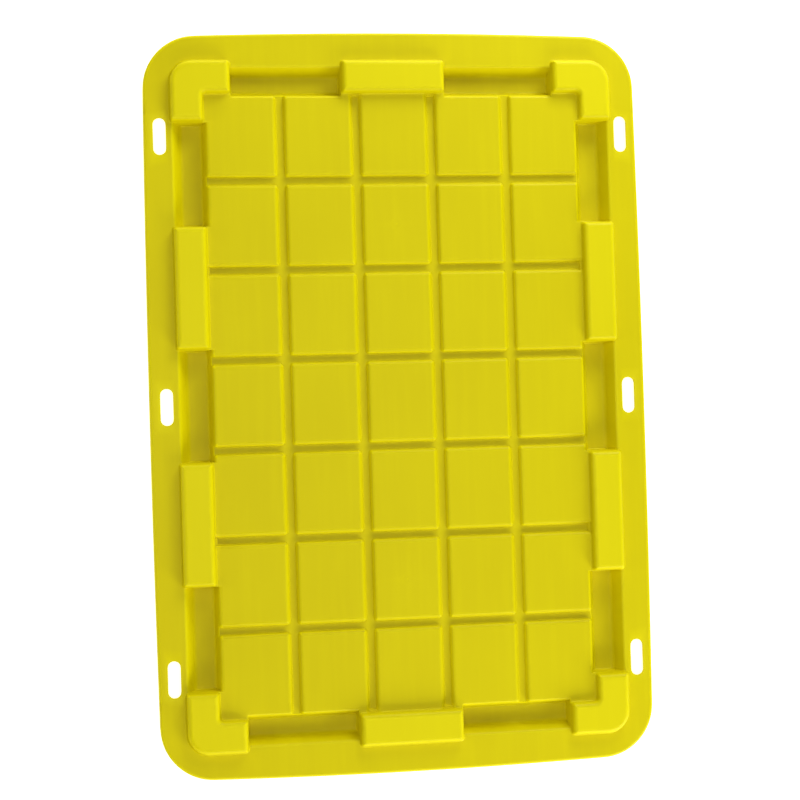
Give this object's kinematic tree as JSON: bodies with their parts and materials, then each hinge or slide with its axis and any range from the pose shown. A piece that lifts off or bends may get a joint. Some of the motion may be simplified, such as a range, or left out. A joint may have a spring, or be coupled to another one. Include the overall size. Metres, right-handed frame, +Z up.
{
  "type": "storage tote lid",
  "caption": "Rectangular plastic storage tote lid with a slotted rim, a sunken channel, raised hollow stacking lugs and a tiled deck.",
  "frame": {"origin": "under the centre of the lid's outline, on the plane that the skirt's lower edge stands on", "axes": "+X across the lid to its right side, +Y along the lid to its back end, +Z up"},
  "size_m": [0.527, 0.778, 0.032],
  "materials": {
    "lid_plastic": "satin moulded polypropylene, bright greenish yellow"
  },
  "bodies": {
    "root": {"deck_panel": "lid_plastic", "channel_left_middle": "lid_plastic", "side_lug_front_left": "lid_plastic", "channel_left_front": "lid_plastic", "corner_lug_front_left": "lid_plastic", "channel_front_left": "lid_plastic", "side_lug_back_left": "lid_plastic", "channel_left_back": "lid_plastic", "corner_lug_back_left": "lid_plastic", "channel_back_left": "lid_plastic", "channel_right_middle": "lid_plastic", "side_lug_front_right": "lid_plastic", "channel_right_front": "lid_plastic", "corner_lug_front_right": "lid_plastic", "channel_front_right": "lid_plastic", "side_lug_back_right": "lid_plastic", "channel_right_back": "lid_plastic", "corner_lug_back_right": "lid_plastic", "channel_back_right": "lid_plastic", "end_lug_front": "lid_plastic", "end_lug_back": "lid_plastic", "rim_left": "lid_plastic", "skirt_left": "lid_plastic", "rim_right": "lid_plastic", "skirt_right": "lid_plastic", "rim_front": "lid_plastic", "skirt_front": "lid_plastic", "rim_back": "lid_plastic", "skirt_back": "lid_plastic"}
  },
  "joints": []
}
